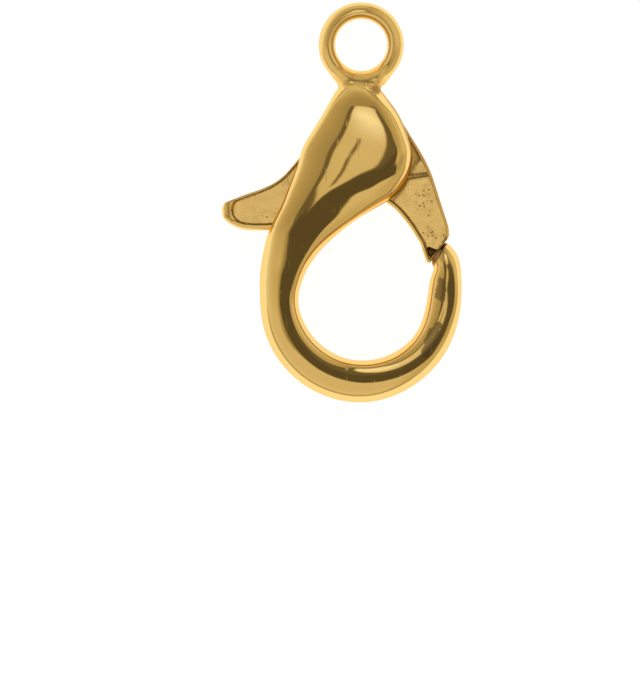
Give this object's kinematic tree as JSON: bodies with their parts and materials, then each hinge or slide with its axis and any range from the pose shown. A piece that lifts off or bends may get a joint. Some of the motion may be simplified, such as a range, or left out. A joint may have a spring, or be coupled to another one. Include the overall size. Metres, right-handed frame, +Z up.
{
  "type": "lobster clasp",
  "caption": "Gold-coloured lobster clasp with a round hook, a domed head, a sprung lever with thumb tab and gate, and a plain ring for a chain.",
  "frame": {"origin": "under the middle of the clasp's outline, on the surface that it lies on", "axes": "+Y towards the ring, +X towards the gate's side, +Z up out of the domed front"},
  "size_m": [0.0138, 0.023, 0.0038],
  "materials": {
    "gold_body": "polished gold-coloured plating on a zinc alloy casting",
    "gold_lever": "polished gold-coloured plating, with cast recesses left rough",
    "gold_pin": "plated pin end"
  },
  "bodies": {
    "clasp": {"body": "gold_body", "pivot_pin": "gold_pin"},
    "lever": {"lever": "gold_lever"}
  },
  "joints": [
    {"name": "lever_pivot", "type": "hinge", "parent": "clasp", "child": "lever", "pos_m": [0.00139, 0.00428, 0.00175], "axis": [0, 0, -1], "range_deg": [0, 28], "stiffness_Nm_per_rad": 0.034, "springref_deg": -28.07}
  ]
}
